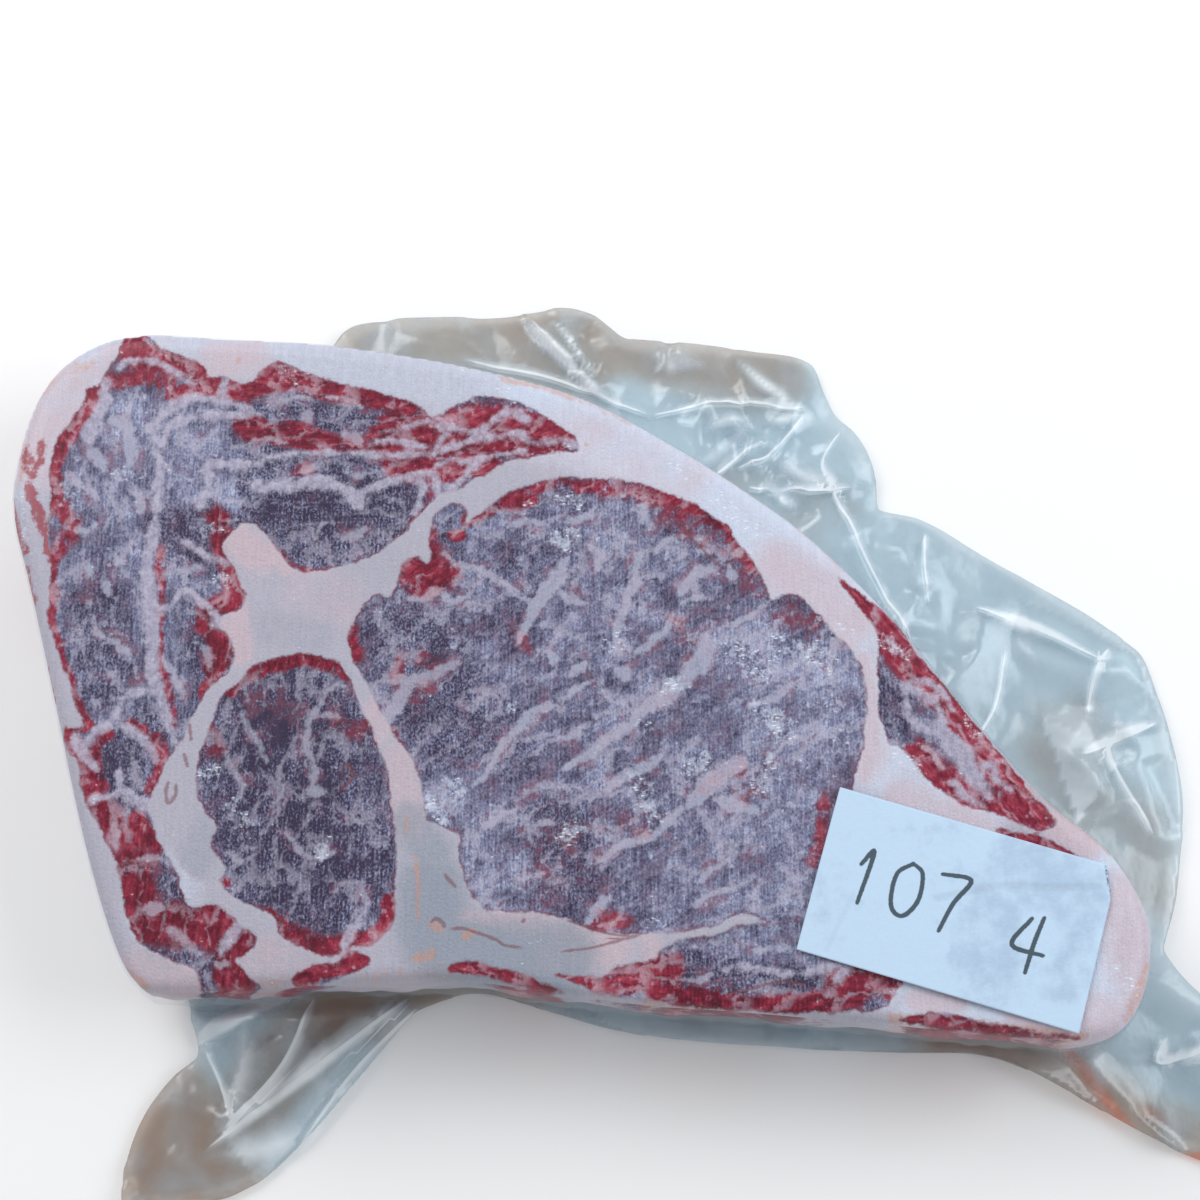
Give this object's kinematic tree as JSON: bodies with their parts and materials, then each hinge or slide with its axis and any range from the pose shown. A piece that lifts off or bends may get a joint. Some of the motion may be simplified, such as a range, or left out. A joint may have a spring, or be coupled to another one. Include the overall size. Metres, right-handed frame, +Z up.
{
  "type": "vacuum-packed raw beef steak",
  "caption": "Thick frozen slice of raw beef with a flat sawn face and a rounded fat edge, sealed in a clear bag with loose creased flaps and a blank paper tag on top",
  "frame": {"origin": "middle of the bounding box's underside, on the table", "axes": "+X along the long side of the slice, to the right as pictured; +Y away from the viewer; +Z up, out of the sawn face"},
  "size_m": [0.3512, 0.2582, 0.0473],
  "materials": {
    "meat": "frozen raw beef: frosted purple-grey lean with dark red edges, fine pale marbling and thick blue-white fat, under clinging film",
    "clear_film": "clear glossy plastic film, creased where it is loose",
    "tag_paper": "thin bluish white paper, faintly creased, with grey-blue patches where the meat shows through"
  },
  "bodies": {
    "root": {"beef_steak": "meat", "vacuum_bag": "clear_film", "paper_tag": "tag_paper"}
  },
  "joints": []
}
